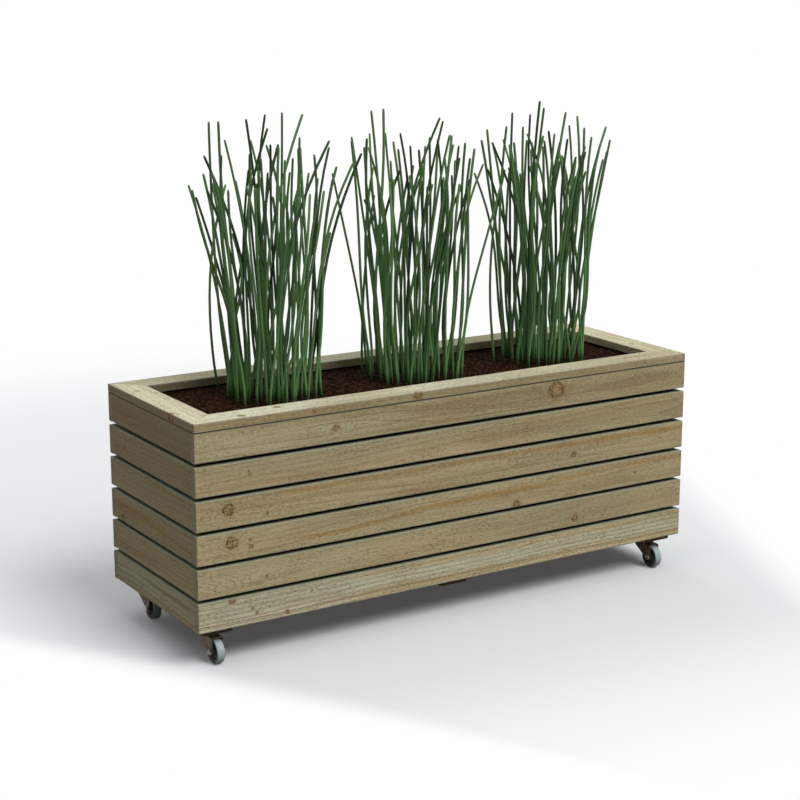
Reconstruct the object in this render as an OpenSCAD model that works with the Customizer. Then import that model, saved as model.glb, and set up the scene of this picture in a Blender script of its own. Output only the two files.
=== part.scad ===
// Rolling planter: a slatted softwood trough with a mitred rim, lined, filled with
// compost and planted with three rush clumps, on four swivel casters.
// Frame: X runs along the trough, -Y is the front, Z = 0 is the floor.

/* [Trough] */
// Outer length of the trough, along X
trough_length = 1200; // [1160:10:1600]
// Outer depth of the trough, front to back
trough_depth = 400; // [380:5:500]
// Height of one slat
slat_width = 60; // [50:1:80]
// Thickness of one slat
slat_thickness = 16; // [14:1:20]
// Open gap between two slats
slat_gap = 8; // [4:1:12]
// Radius of the planed edges of every board
eased_edge = 2; // [1:0.5:4]

/* [Rim] */
// Width of the flat rim boards
rim_width = 60; // [50:1:80]
// Thickness of the rim boards
rim_thickness = 18; // [14:1:20]

/* [Inside frame] */
// Side of the square posts that the slats are screwed to
post_size = 35; // [30:1:40]
// Width of the bearers under the floor
bearer_width = 64; // [62:1:80]
// Thickness of the bearers under the floor
bearer_thickness = 16; // [14:1:20]
// How far the bearers show below the lowest slat
bearer_drop = 12; // [8:1:14]
// Width of one floor board
floor_board_width = 60; // [50:1:64]
// Thickness of the liner sheet
liner_thickness = 1.5; // [1:0.5:3]
// Diameter of the drain holes through the liner
drain_hole_diameter = 10; // [6:1:14]

/* [Casters] */
// Diameter of the wheels
wheel_diameter = 50; // [40:1:52]
// Width of the tread
wheel_width = 17; // [14:1:20]
// Height of a whole caster, from the floor to the top of its plate
caster_height = 65; // [64:1:80]
// Distance from the swivel axis to the axle, seen from above
caster_trail = 24; // [16:1:24]
// Side of the square top plate
plate_side = 52; // [50:1:56]
// Distance from the trough's end to the swivel axis
caster_end_inset = 50; // [50:1:52]
// Distance from the front or back face to the swivel axis
caster_side_inset = 54; // [48:1:80]

/* [Planting] */
// Depth of the compost surface below the top of the rim
soil_drop = 22; // [22:1:40]
// Distance between the middles of two rush clumps
clump_pitch = 341; // [325:1:345]
// Offset of the row of clumps from the middle of the trough
clump_offset = 17; // [-20:1:20]
// Radius of one clump at the soil
clump_radius = 98; // [96:1:102]
// Usual height of a stem above the soil
stem_height = 450; // [350:10:500]
// Diameter of a stem at its foot
stem_diameter = 4.8; // [3:0.2:5]
// Number of stems in one clump
stem_count = 50; // [20:1:50]

/* [Hidden] */
// Levels, measured from the floor
slats_per_side = 6;
bearer_bottom = caster_height;
bearer_top = bearer_bottom + bearer_thickness;
slat_bottom = bearer_bottom + bearer_drop;
slat_pitch = slat_width + slat_gap;
rim_bottom = slat_bottom + slats_per_side * slat_pitch - slat_gap;
rim_top = rim_bottom + rim_thickness;
floor_top = bearer_top + slat_thickness;
soil_level = rim_top - soil_drop;

// Half sizes of the trough, outside and inside the slats
half_length = trough_length / 2;
half_depth = trough_depth / 2;
inner_x = half_length - slat_thickness;
inner_y = half_depth - slat_thickness;

// Floor boards lie between the front and back posts, evenly spaced
floor_board_count = 4;
floor_span = 2 * (inner_y - post_size);
floor_gap = (floor_span - floor_board_count * floor_board_width) / (floor_board_count - 1);
floor_board_pitch = floor_board_width + floor_gap;
drain_holes_per_row = 5;
drain_hole_pitch = 230;

// Screws through the posts into the slats, one or two to a joint
screw_stop = 5;
slat_screw_length = post_size + slat_thickness - screw_stop;
screw_radius = 2;
screw_head_radius = 4;
screw_head_height = 2.4;
corner_screw_spacing = 28;
fastener_fn = 32;

// Caster parts, with each caster's swivel axis at x = y = 0
plate_thickness = 2.2;
plate_corner_radius = 5;
plate_hole_spacing = 38;
plate_hole_radius = 2.7;
plate_bottom = caster_height - plate_thickness;
fork_sheet = 2.2;
fork_width = 25;
fork_bend_radius = 3.4;
fork_eye_radius = 7.5;
fork_front = 0.5 - caster_trail - fork_eye_radius;
fork_back = 20;
fork_shoulder = 44;
fork_nose_bevel = 3;
crown_clearance = 2.2;
crown_bottom = wheel_diameter + crown_clearance;
crown_top = crown_bottom + fork_sheet;
race_radius = 19.5;
race_wall = 1.6;
race_top = plate_bottom - 2.6;
race_gap = 0.6;
kingpin_radius = 4;
kingpin_head_radius = 6.2;
kingpin_head_height = 1.9;
running_clearance = 0.05;
axle_radius = 3;
axle_head_height = 3.2;
axle_head_radius = 5;
washer_radius = 6.5;
washer_thickness = 1;
nut_height = 5;
nut_radius = 5.8;
axle_end_bevel = 0.6;
hub_radius = 8;
hub_width = 19.4;
web_width = 5;
rim_inner_radius = 16;
rim_outer_radius = 20;
rim_ring_width = 14;
tread_shoulder = 2.6;

// Rush clumps: the golden angle spreads the feet, and each seed keeps the stems apart
golden_angle = 137.508;
clump_seeds = [743, 2443, 1664];
clump_turn = 47;
crown_height = 3;
crown_margin = 7;
stem_spread = 92;
stem_swirl = 24;
stem_wander = 32;
stem_sides = 4;
stem_rings = 5;
stem_root = 2;
stem_tip_share = 0.7;
tall_every = 10;
tall_phase = 5;

side_names = ["front", "back", "left", "right"];
caster_names = ["front_left", "front_right", "back_left", "back_right"];
clump_names = ["left", "middle", "right"];
post_names = ["front_left", "front_right", "back_left", "back_right"];
bearer_names = ["left", "middle", "right"];

// ---------- helpers ----------

// Outline of a w by h rectangle in the first quadrant, with rounded corners
function eased_outline(w, h, r, steps = 4) = [
    for (corner = [0 : 3]) for (step = [0 : steps])
        let (
            angle = 180 + 90 * corner + 90 * step / steps,
            cx = (corner == 0 || corner == 3) ? r : w - r,
            cy = (corner == 0 || corner == 1) ? r : h - r
        )
        [cx + r * cos(angle), cy + r * sin(angle)]
];

// Signs of x and y for the four corners, in the order of the corner names
function corner_signs(index) = [index % 2 == 0 ? -1 : 1, index < 2 ? -1 : 1];

// A repeatable number from 0 to 1 for a whole number
function chance(n) =
    let (value = sin(n * 127.1) * 43758.5453)
    value - floor(value);

// A board along +X from the origin, t deep in Y and h high in Z
module board(length, t, h) {
    rotate([90, 0, 90])
        linear_extrude(height = length)
            polygon(eased_outline(t, h, eased_edge));
}

// Places its children on the swivel axis of one caster
module at_caster(index) {
    signs = corner_signs(index);
    translate([
        signs[0] * (half_length - caster_end_inset),
        signs[1] * (half_depth - caster_side_inset),
        0
    ])
        children();
}

// Turns a profile of [radius, distance along the axle] into a solid round the axle
module around_axle(points) {
    translate([0, -caster_trail, wheel_diameter / 2])
        rotate([0, 90, 0])
            rotate_extrude($fn = 96)
                polygon(points);
}

// ---------- slats and rim ----------

// Front and back slats run the full length and cover the ends of the side slats
module long_slat(side, level) {
    y = side < 0 ? -half_depth : inner_y;
    color("tan")
        translate([-half_length, y, slat_bottom + (level - 1) * slat_pitch])
            board(trough_length, slat_thickness, slat_width);
}

// Side slats fit between the front and back slats
module side_slat(side, level) {
    x = side < 0 ? -inner_x : half_length;
    color("darkkhaki")
        translate([x, -inner_y, slat_bottom + (level - 1) * slat_pitch])
            rotate([0, 0, 90])
                board(2 * inner_y, slat_thickness, slat_width);
}

// A flat rim board with its outer edge on the X axis and a mitre at each end
module rim_board(length) {
    color("wheat")
        intersection() {
            board(length, rim_width, rim_thickness);
            linear_extrude(height = rim_thickness)
                polygon([
                    [0, 0],
                    [length, 0],
                    [length - rim_width, rim_width],
                    [rim_width, rim_width]
                ]);
        }
}

// Rim boards by side: 0 front, 1 back, 2 left, 3 right
module placed_rim_board(index) {
    angle = [0, 180, 270, 90][index];
    length = index < 2 ? trough_length : trough_depth;
    reach = index < 2 ? half_depth : half_length;
    rotate([0, 0, angle])
        translate([-length / 2, -reach, rim_bottom])
            rim_board(length);
}

// ---------- inside frame ----------

// A square post standing from z = bottom up to the rim, centred on x = y = 0
module post(bottom) {
    color("burlywood")
        translate([-post_size / 2, -post_size / 2, bottom])
            linear_extrude(height = rim_bottom - bottom)
                polygon(eased_outline(post_size, post_size, eased_edge));
}

module corner_post(index) {
    signs = corner_signs(index);
    translate([
        signs[0] * (inner_x - post_size / 2),
        signs[1] * (inner_y - post_size / 2),
        0
    ])
        post(bearer_top);
}

// The posts that hold the middle of the long slats
module middle_posts() {
    for (side = [-1, 1])
        translate([0, side * (inner_y - post_size / 2), 0])
            post(bearer_top);
}

// Bearers by place: 0 left, 1 middle, 2 right
module bearer(index) {
    x = (index - 1) * (inner_x - bearer_width / 2);
    color("saddlebrown")
        translate([x + bearer_width / 2, -inner_y, bearer_bottom])
            rotate([0, 0, 90])
                board(2 * inner_y, bearer_width, bearer_thickness);
}

module floor_boards() {
    color("burlywood")
        for (index = [0 : floor_board_count - 1])
            translate([-inner_x, -floor_span / 2 + index * floor_board_pitch, bearer_top])
                board(2 * inner_x, floor_board_width, slat_thickness);
}

// Plan of the space inside the slats and round the six posts, drawn in by an inset
module planting_plan(inset) {
    difference() {
        square([2 * (inner_x - inset), 2 * (inner_y - inset)], center = true);
        for (x = [-inner_x, 0, inner_x], side = [-1, 1]) {
            middle = x == 0;
            half_notch = (middle ? post_size / 2 : post_size) + inset;
            translate([x, side * inner_y])
                square([2 * half_notch, 2 * (post_size + inset)], center = true);
        }
    }
}

// Drain holes in two rows, over the outer gaps between the floor boards
module drain_holes() {
    row_y = floor_board_pitch;
    for (index = [0 : drain_holes_per_row - 1], side = [-1, 1])
        translate([
            (index - (drain_holes_per_row - 1) / 2) * drain_hole_pitch,
            side * row_y,
            floor_top - 1
        ])
            cylinder(d = drain_hole_diameter, h = liner_thickness + 2, $fn = fastener_fn);
}

module liner() {
    color("dimgray")
        difference() {
            translate([0, 0, floor_top])
                linear_extrude(height = rim_bottom - floor_top)
                    planting_plan(0);
            translate([0, 0, floor_top + liner_thickness])
                linear_extrude(height = rim_top - floor_top)
                    planting_plan(liner_thickness);
            drain_holes();
        }
}

module soil() {
    color("saddlebrown")
        translate([0, 0, floor_top + liner_thickness])
            linear_extrude(height = soil_level - floor_top - liner_thickness)
                planting_plan(liner_thickness);
}

// ---------- rush clumps ----------

// Height of one stem, with a taller one among every few
function stem_top(i, seed) =
    let (n = i + 1 + seed)
    i % tall_every == tall_phase
        ? stem_height * (1.10 + 0.18 * chance(n + 7))
        : stem_height * (0.90 + 0.24 * chance(n));

// Foot of one stem on the soil: a sunflower spiral
function stem_foot(i, turn) =
    let (
        angle = i * golden_angle + turn,
        radius = clump_radius * sqrt((i + 0.5) / stem_count)
    )
    [radius * cos(angle), radius * sin(angle)];

// Sideways reach of one stem at its usual height: outwards, round the clump, and a wander
function stem_lean(i, turn, seed) =
    let (
        n = i + 1 + seed,
        angle = i * golden_angle + turn,
        edge = sqrt((i + 0.5) / stem_count),
        out = stem_spread * edge * pow(chance(n + 11), 1.3),
        round_about = stem_swirl * edge * (0.2 + 1.6 * chance(n + 13)),
        way = 360 * chance(n + 17),
        wander = stem_wander * chance(n + 19)
    )
    [
        out * cos(angle) - round_about * sin(angle) + wander * cos(way),
        out * sin(angle) + round_about * cos(angle) + wander * sin(way)
    ];

// Centre of a stem at share t of its height, bending more towards its tip
function stem_centre(i, turn, seed, t) =
    let (
        top = stem_top(i, seed),
        foot = stem_foot(i, turn),
        lean = stem_lean(i, turn, seed) * top / stem_height,
        bend = 1.6 * chance(i + 1 + seed + 23) - 0.3,
        share = (1 - bend) * t + bend * t * t
    )
    [foot[0] + lean[0] * share, foot[1] + lean[1] * share, top * t];

// One slender stem as level rings of corners, tapering to a blunt tip
module stem(i, turn, seed) {
    rings = [
        for (ring = [0 : stem_rings - 1])
            let (
                t = ring / (stem_rings - 1),
                centre = stem_centre(i, turn, seed, t),
                radius = stem_diameter / 2 * (1 - (1 - stem_tip_share) * t),
                z = ring == 0 ? crown_height - stem_root : centre[2]
            )
            for (side = [0 : stem_sides - 1])
                let (angle = 360 * side / stem_sides + 45)
                [centre[0] + radius * cos(angle), centre[1] + radius * sin(angle), z]
    ];
    walls = [
        for (ring = [0 : stem_rings - 2]) for (side = [0 : stem_sides - 1])
            let (
                a = ring * stem_sides + side,
                b = ring * stem_sides + (side + 1) % stem_sides
            )
            for (face = [[a, a + stem_sides, b], [b, a + stem_sides, b + stem_sides]])
                face
    ];
    last = (stem_rings - 1) * stem_sides;
    caps = [
        for (side = [1 : stem_sides - 2])
            for (face = [[0, side, side + 1], [last, last + side + 1, last + side]])
                face
    ];
    polyhedron(points = rings, faces = concat(walls, caps));
}

// Clumps by place: 0 left, 1 middle, 2 right
module rush_clump(index) {
    color("darkolivegreen")
        translate([clump_offset + (index - 1) * clump_pitch, 0, soil_level]) {
            cylinder(r = clump_radius + crown_margin, h = crown_height, $fn = 96);
            for (i = [0 : stem_count - 1])
                stem(i, clump_turn * index, clump_seeds[index]);
        }
}

// ---------- screws ----------

// A screw pointing along +Z, with its head's face at z = 0 and a countersunk cone
module wood_screw(length) {
    cylinder(r1 = screw_head_radius, r2 = screw_radius, h = screw_head_height, $fn = fastener_fn);
    cylinder(r = screw_radius, h = length, $fn = fastener_fn);
}

// Screws from inside one post into its slat, pointing along -Y from y = 0
module post_screws(spacing) {
    for (level = [0 : slats_per_side - 1]) {
        middle_z = slat_bottom + level * slat_pitch + slat_width / 2;
        offsets = spacing == 0 ? [0] : [-spacing / 2, spacing / 2];
        for (offset = offsets)
            translate([0, 0, middle_z + offset])
                rotate([90, 0, 0])
                    wood_screw(slat_screw_length);
    }
}

// Long slats get two screws a corner, side slats and middle posts get one
module slat_screws() {
    color("silver") {
        for (index = [0 : 3]) {
            signs = corner_signs(index);
            mirror([0, signs[1] > 0 ? 1 : 0, 0])
                translate([signs[0] * (inner_x - post_size / 3), -inner_y + post_size, 0])
                    post_screws(corner_screw_spacing);
            mirror([signs[0] > 0 ? 1 : 0, 0, 0])
                translate([-inner_x + post_size, signs[1] * (inner_y - 2 * post_size / 3), 0])
                    rotate([0, 0, -90])
                        post_screws(0);
        }
        for (side = [0, 1])
            mirror([0, side, 0])
                translate([0, -inner_y + post_size, 0])
                    post_screws(0);
    }
}

// Round-headed screws up through each caster plate into its bearer
module caster_screws() {
    color("silver")
        for (index = [0 : 3]) at_caster(index)
            for (x = [-1, 1], y = [-1, 1])
                translate([x * plate_hole_spacing / 2, y * plate_hole_spacing / 2, plate_bottom]) {
                    translate([0, 0, -screw_head_height])
                        cylinder(
                            r1 = screw_head_radius - 1,
                            r2 = screw_head_radius,
                            h = screw_head_height,
                            $fn = fastener_fn
                        );
                    cylinder(r = screw_radius, h = bearer_thickness, $fn = fastener_fn);
                }
}

// ---------- casters ----------

// Square top plate with its screw holes, the upper race and the riveted kingpin
module caster_plate() {
    race_reach = race_radius - race_wall - race_gap;
    race_floor = crown_top + race_wall + race_gap;
    head_top = crown_bottom - race_gap;
    head_bottom = head_top - kingpin_head_height;
    color("dimgray") {
        difference() {
            translate([-plate_side / 2, -plate_side / 2, plate_bottom])
                linear_extrude(height = plate_thickness)
                    polygon(eased_outline(plate_side, plate_side, plate_corner_radius));
            for (x = [-1, 1], y = [-1, 1])
                translate([x * plate_hole_spacing / 2, y * plate_hole_spacing / 2, plate_bottom - 1])
                    cylinder(r = plate_hole_radius, h = plate_thickness + 2, $fn = fastener_fn);
        }
        rotate_extrude($fn = 96)
            polygon([
                [0, head_bottom],
                [kingpin_head_radius - 1, head_bottom],
                [kingpin_head_radius, head_bottom + 1],
                [kingpin_head_radius, head_top],
                [kingpin_radius, head_top],
                [kingpin_radius, race_floor],
                [race_reach - 2, race_floor],
                [race_reach, race_floor + 2],
                [race_reach, plate_bottom],
                [0, plate_bottom]
            ]);
    }
}

// Point where a line from p touches the underside of a circle
function touch_point(centre, radius, p) =
    let (
        way = p - centre,
        angle = atan2(way[1], way[0]) - acos(radius / norm(way))
    )
    centre + radius * [cos(angle), sin(angle)];

// Side view of the fork as [y, z]: broad under the crown, tapering to the axle eye
module fork_side_view() {
    axle = [-caster_trail, wheel_diameter / 2];
    touch = touch_point(axle, fork_eye_radius, [fork_back, fork_shoulder]);
    polygon([
        axle,
        touch,
        [fork_back, fork_shoulder],
        [fork_back, crown_top],
        [fork_front + fork_nose_bevel, crown_top],
        [fork_front, crown_top - fork_nose_bevel],
        [axle[0] - fork_eye_radius, axle[1]]
    ]);
    translate(axle)
        circle(r = fork_eye_radius, $fn = 64);
}

// End view of the fork as [x, z]: an upturned channel of folded sheet
module fork_end_view() {
    depth = crown_top;
    difference() {
        translate([-fork_width / 2, 0])
            polygon(eased_outline(fork_width, depth, fork_bend_radius));
        translate([-fork_width / 2 + fork_sheet, -depth])
            polygon(eased_outline(
                fork_width - 2 * fork_sheet,
                2 * depth - fork_sheet,
                fork_bend_radius - fork_sheet
            ));
    }
}

// Folded fork with its axle eyes, kingpin hole and the cup that holds the race
module caster_fork() {
    color("sienna")
        difference() {
            union() {
                intersection() {
                    rotate([90, 0, 0])
                        linear_extrude(height = 4 * fork_width, center = true)
                            fork_end_view();
                    rotate([90, 0, 90])
                        linear_extrude(height = 2 * fork_width, center = true)
                            fork_side_view();
                }
                rotate_extrude($fn = 96)
                    polygon([
                        [kingpin_radius, crown_top - fork_sheet / 2],
                        [race_radius - 2, crown_top - fork_sheet / 2],
                        [race_radius - 2, crown_top],
                        [race_radius, crown_top + 2],
                        [race_radius, race_top],
                        [race_radius - race_wall, race_top],
                        [race_radius - race_wall, crown_top + race_wall + 1],
                        [race_radius - race_wall - 1, crown_top + race_wall],
                        [kingpin_radius, crown_top + race_wall]
                    ]);
            }
            translate([0, 0, crown_bottom - fork_sheet])
                cylinder(
                    r = kingpin_radius + running_clearance,
                    h = plate_bottom - crown_bottom,
                    $fn = 96
                );
            translate([0, -caster_trail, wheel_diameter / 2])
                rotate([0, 90, 0])
                    cylinder(r = axle_radius, h = 2 * fork_width, center = true, $fn = 96);
        }
}

// Axle bolt with its washers, a hexagon head on the left and a lock nut on the right
module caster_axle() {
    face = fork_width / 2;
    outer = face + washer_thickness;
    color("silver")
        translate([0, -caster_trail, wheel_diameter / 2])
            rotate([0, 90, 0]) {
                cylinder(r = axle_radius, h = 2 * outer, center = true, $fn = 96);
                for (side = [0, 1]) mirror([0, 0, side]) translate([0, 0, face])
                    cylinder(r = washer_radius, h = washer_thickness, $fn = 64);
                translate([0, 0, -outer - axle_head_height])
                    cylinder(r = axle_head_radius, h = axle_head_height, $fn = 6);
                translate([0, 0, outer])
                    cylinder(r = nut_radius, h = nut_height, $fn = 6);
                translate([0, 0, outer + nut_height])
                    cylinder(
                        r1 = axle_radius,
                        r2 = axle_radius - axle_end_bevel,
                        h = 2 * axle_end_bevel,
                        $fn = 96
                    );
            }
}

// Wheel as one profile round the axle: hub, web, rim ring and a round-shouldered tread
module caster_wheel() {
    bore = axle_radius + running_clearance;
    outer = wheel_diameter / 2;
    half_tread = wheel_width / 2;
    half = [
        [bore, hub_width / 2],
        [hub_radius, hub_width / 2],
        [hub_radius + 1, web_width / 2],
        [rim_inner_radius, web_width / 2],
        [rim_inner_radius + 1, rim_ring_width / 2],
        [rim_outer_radius, rim_ring_width / 2],
        [rim_outer_radius + 0.5, half_tread],
        for (step = [0 : 4])
            let (angle = 90 - 90 * step / 4)
            [
                outer - tread_shoulder + tread_shoulder * cos(angle),
                half_tread - tread_shoulder + tread_shoulder * sin(angle)
            ]
    ];
    mirrored = [for (i = [len(half) - 1 : -1 : 0]) [half[i][0], -half[i][1]]];
    color("lightslategray")
        around_axle(concat(half, mirrored));
}

// ---------- the whole planter ----------

for (level = [1 : slats_per_side]) {
    long_slat(-1, level);
    long_slat(1, level);
    side_slat(-1, level);
    side_slat(1, level);
}
for (index = [0 : 3]) {
    corner = caster_names[index];
    placed_rim_board(index);
    corner_post(index);
    at_caster(index) caster_plate();
    at_caster(index) caster_fork();
    at_caster(index) caster_axle();
    at_caster(index) caster_wheel();
}
for (index = [0 : 2]) {
    bearer(index);
    rush_clump(index);
}
middle_posts();
floor_boards();
liner();
soil();
slat_screws();
caster_screws();
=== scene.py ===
# %% [markdown]
# # Rolling planter
#
# The planter is a long softwood trough on four swivel casters, filled with compost and
# planted with three clumps of rush. Its boards, casters and screws come ready made from the
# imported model, in metres, with +Z up and the front facing -Y. This lesson gives them their
# finishes, and builds the two things that a solid model can't show well: loose compost and
# living stems.

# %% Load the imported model
import math

import bpy
import numpy as np
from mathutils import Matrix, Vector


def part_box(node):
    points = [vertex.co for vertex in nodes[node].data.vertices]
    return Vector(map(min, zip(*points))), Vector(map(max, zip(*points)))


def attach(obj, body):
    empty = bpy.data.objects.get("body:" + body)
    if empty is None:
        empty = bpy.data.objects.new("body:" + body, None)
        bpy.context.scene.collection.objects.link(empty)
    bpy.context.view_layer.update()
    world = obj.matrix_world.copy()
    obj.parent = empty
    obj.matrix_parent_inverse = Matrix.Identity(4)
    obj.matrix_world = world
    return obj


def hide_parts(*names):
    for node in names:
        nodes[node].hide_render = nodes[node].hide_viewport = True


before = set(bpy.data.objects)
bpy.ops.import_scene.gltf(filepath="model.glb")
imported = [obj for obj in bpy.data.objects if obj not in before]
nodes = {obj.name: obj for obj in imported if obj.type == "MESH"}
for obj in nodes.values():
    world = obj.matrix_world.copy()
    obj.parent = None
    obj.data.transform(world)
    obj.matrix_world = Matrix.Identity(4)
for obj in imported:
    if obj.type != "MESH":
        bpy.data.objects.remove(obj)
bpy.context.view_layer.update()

# %% [markdown]
# ## The camera
#
# The photograph was taken from the front left, a little above the rim, with a long lens, so
# the trough's long edges converge only slightly. The place and the lens were solved from the
# corners of the trough, whose sizes are known, and from the three wheels that show.

# %% Place the camera
camera_data = bpy.data.cameras.new("camera")
camera_data.lens = 82.5
camera_data.sensor_width = 36.0
camera = bpy.data.objects.new("camera", camera_data)
camera.location = (-2.0413, -3.2156, 1.3524)
camera.rotation_euler = [math.radians(angle) for angle in (76.304, -0.072, -32.159)]
bpy.context.scene.collection.objects.link(camera)
bpy.context.scene.camera = camera
bpy.context.scene.view_settings.view_transform = "Standard"
print("camera at", tuple(camera.location), "lens", camera_data.lens, "mm")

# %% [markdown]
# ## Writing shaders as sums
#
# A wood pattern is easiest to read as a formula: rings are a distance divided by a spacing,
# and a knot is a bump added to that distance. `Wire` wraps one socket of a material, and
# Python's own operators on it add Math nodes, so the formulas below stay formulas. Every
# other node comes from its one `node` method.


# %% A wrapper for sockets
class Wire:
    """One output socket of a material's node tree."""

    def __init__(self, tree, socket):
        self.tree = tree
        self.socket = socket

    def node(self, kind, settings=None, sockets=None, out=0):
        """Adds a node, sets its settings, then fills its sockets with values or links."""
        made = self.tree.nodes.new(kind)
        for name, value in (settings or {}).items():
            setattr(made, name, value)
        for name, value in (sockets or {}).items():
            target = made.inputs[name]
            if isinstance(value, Wire):
                self.tree.links.new(value.socket, target)
            elif target.type == "RGBA":
                target.default_value = (*value[:3], 1)
            else:
                target.default_value = value
        return Wire(self.tree, made.outputs[out] if made.outputs else None)

    def math(self, operation, *others):
        """A Math node that reads this wire first."""
        return self.node("ShaderNodeMath", {"operation": operation}, dict(enumerate((self, *others))))

    def __add__(self, other):
        return self.math("ADD", other)

    def __sub__(self, other):
        return self.math("SUBTRACT", other)

    def __mul__(self, other):
        return self.math("MULTIPLY", other)

    def __truediv__(self, other):
        return self.math("DIVIDE", other)

    def __pow__(self, other):
        return self.math("POWER", other)

    def __rsub__(self, other):
        return self.node("ShaderNodeMath", {"operation": "SUBTRACT"}, {0: other, 1: self})

    def __abs__(self):
        return self.math("ABSOLUTE")

    __radd__ = __add__
    __rmul__ = __mul__

    def rise(self, low, high):
        """0 below low and 1 above high, with a smooth step between them."""
        sockets = {0: self, 1: float(low), 2: float(high), 3: 0.0, 4: 1.0}
        return self.node("ShaderNodeMapRange", {"interpolation_type": "SMOOTHSTEP"}, sockets)

    def parts(self):
        """The x, y and z of a vector."""
        first = self.node("ShaderNodeSeparateXYZ", sockets={0: self})
        return [Wire(self.tree, output) for output in first.socket.node.outputs]

    def vector(self, x, y, z):
        return self.node("ShaderNodeCombineXYZ", sockets={0: x, 1: y, 2: z})

    def noise(self, scale=1.0, detail=2.0, roughness=0.5):
        """Soft noise from 0 to 1 at this place."""
        sockets = {"Vector": self, "Scale": scale, "Detail": detail, "Roughness": roughness}
        return self.node("ShaderNodeTexNoise", sockets=sockets)

    def tint(self, colour, other):
        """The first colour where this value is 0, the other one where it is 1."""
        return self.node("ShaderNodeMix", {"data_type": "RGBA"}, {0: self, 6: colour, 7: other}, out=2)


def new_material(name):
    """An empty material and the wire of its object coordinates."""
    material = bpy.data.materials.new(name)
    material.use_nodes = True
    material.node_tree.nodes.clear()
    coordinates = material.node_tree.nodes.new("ShaderNodeTexCoord")
    return material, Wire(material.node_tree, coordinates.outputs["Object"])


def finish_surface(place, colour, roughness, height=None, depth=0.001, **fixed):
    """Closes a material with a Principled shader, and a Bump node where there is a height."""
    sockets = {"Base Color": colour, "Roughness": roughness}
    sockets.update({name.replace("_", " "): value for name, value in fixed.items()})
    if height is not None:
        bump = {"Height": height, "Distance": depth, "Strength": 1.0}
        sockets["Normal"] = place.node("ShaderNodeBump", sockets=bump)
    shader = place.node("ShaderNodeBsdfPrincipled", sockets=sockets)
    place.node("ShaderNodeOutputMaterial", sockets={"Surface": shader})


def dress(material, *members):
    """Gives every slot of the named nodes this material."""
    for node in members:
        for slot in nodes[node].material_slots:
            slot.material = material


print("shader helpers ready")

# %% [markdown]
# ## Sawn softwood
#
# The boards are pressure-treated pine: pale straw with an olive cast, brown streaks along
# the grain, a fuzz of fine specks from the saw, and brown knots with a dark ring. A picture of
# wood would repeat and would not join at the corners. Here the log itself is modelled: a
# ring is the distance from the pith, which runs along the board a few centimetres behind its
# face and drifts sideways. Faces, edges and end grain then agree, as they all cut one log.

# %% The colours of the timber
DARK_FIBRE = (0.26, 0.175, 0.085)
PALE_FIBRE = (0.7, 0.64, 0.47)
WARM_STREAK = (0.43, 0.27, 0.12)
OLIVE_CAST = (0.36, 0.36, 0.22)
WEATHERED = (0.46, 0.48, 0.44)
SHADED_EDGE_GREY = (0.33, 0.36, 0.265)
END_GRAIN = (0.42, 0.38, 0.27)
KNOT_RING = (0.2, 0.105, 0.036)
KNOT_AMBER = (0.5, 0.315, 0.098)
KNOT_CORE = (0.6, 0.49, 0.285)
KNOT_SPECK = (0.028, 0.015, 0.007)
PORE = (0.11, 0.075, 0.045)
# painted shadow for the groove where the rim meets the top slats
SEAM_SHADOW = (0.07, 0.055, 0.035)
print("timber colours ready")


# %% A board's axes
def board_axes(node):
    """Middle and half sizes of a board, and its axes in the order length, width, thickness."""
    low, high = (np.array(corner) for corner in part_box(node))
    half = (high - low) / 2
    order = [int(axis) for axis in np.argsort(-half, kind="stable")]
    return (low + high) / 2, half, order


print("a front slat's axes:", board_axes("front_slat_1")[2])

# %% [markdown]
# A board's shader is long, so its parts come first. They all use the same three lengths, in
# metres from the board's middle: u along it, v across it and w through it.
#
# A knot is a branch that crosses the board, so it is a round spot on the face. The rings
# bend around it, which comes from adding a bump to the distance there. Its colours are steps
# in the distance from its own middle.

# %% Knots
KNOT_ARC = 0.0036
SMALL_KNOT = 0.008
BIG_KNOT = 0.012


def knot_noises(place, u, v, w, seed):
    """The three noises that all knots of a board share: ripple, broken patches and specks."""
    ripple = place.vector(u * 130.0, v * 130.0, seed).noise()
    broken = place.vector(u * 150.0, v * 190.0, w * 190.0 + seed).noise(detail=1.0).rise(0.34, 0.56)
    specks = place.vector(u * 230.0, v * 270.0 - seed, w * 270.0).noise(detail=2.0, roughness=0.6)
    return ripple, broken, specks


def knot_masks(u, v, knot, noises):
    """How far a knot pushes the rings out, and the masks of its colours.

    away is the rippled distance from the knot's middle, and the push is the radius times a
    bump that ends at 2.8 radii. The heart fills the knot and the core its middle. The marks are
    its ring, and arcs in the heart. The halo is the wood around, and the dots are specks. A
    small knot's ring is nearly closed, and a big one's core is pale.
    """
    knot_u, knot_v, radius, speckled = knot
    ripple, broken, specks = noises
    du = (u - knot_u) * 0.9
    dv = v - knot_v
    away = (du * du + dv * dv) ** 0.5 + (ripple - 0.5) * (radius * 0.7)
    push = (1.0 - away.rise(0.0, radius * 2.8)) * radius
    heart = 1.0 - away.rise(radius * 0.75, radius * 1.05)
    core = 1.0 - (away + (broken - 0.5) * (radius * 0.5)).rise(radius * 0.25, radius * 0.75)
    arcs = (away / KNOT_ARC).math("FRACT").rise(0.35, 0.85)
    ring = away.rise(radius * 0.62, radius * 0.85) * (1.0 - away.rise(radius * 0.95, radius * 1.25))
    halo = 1.0 - away.rise(radius * 0.8, radius * 2.4)
    inside = 1.0 - away.rise(radius * 0.95, radius * 1.45)
    dots = specks.rise(0.505, 0.56) * inside * (1.0 - core * 0.3) * speckled
    closed = 0.65 if radius < SMALL_KNOT else 0.25
    marks = ring.math("MAXIMUM", heart * arcs * 0.7) * (closed + broken * (1.0 - closed))
    paleness = 0.38 if radius < BIG_KNOT else 0.8
    return push, (heart, core * paleness, marks, halo, dots)


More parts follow.
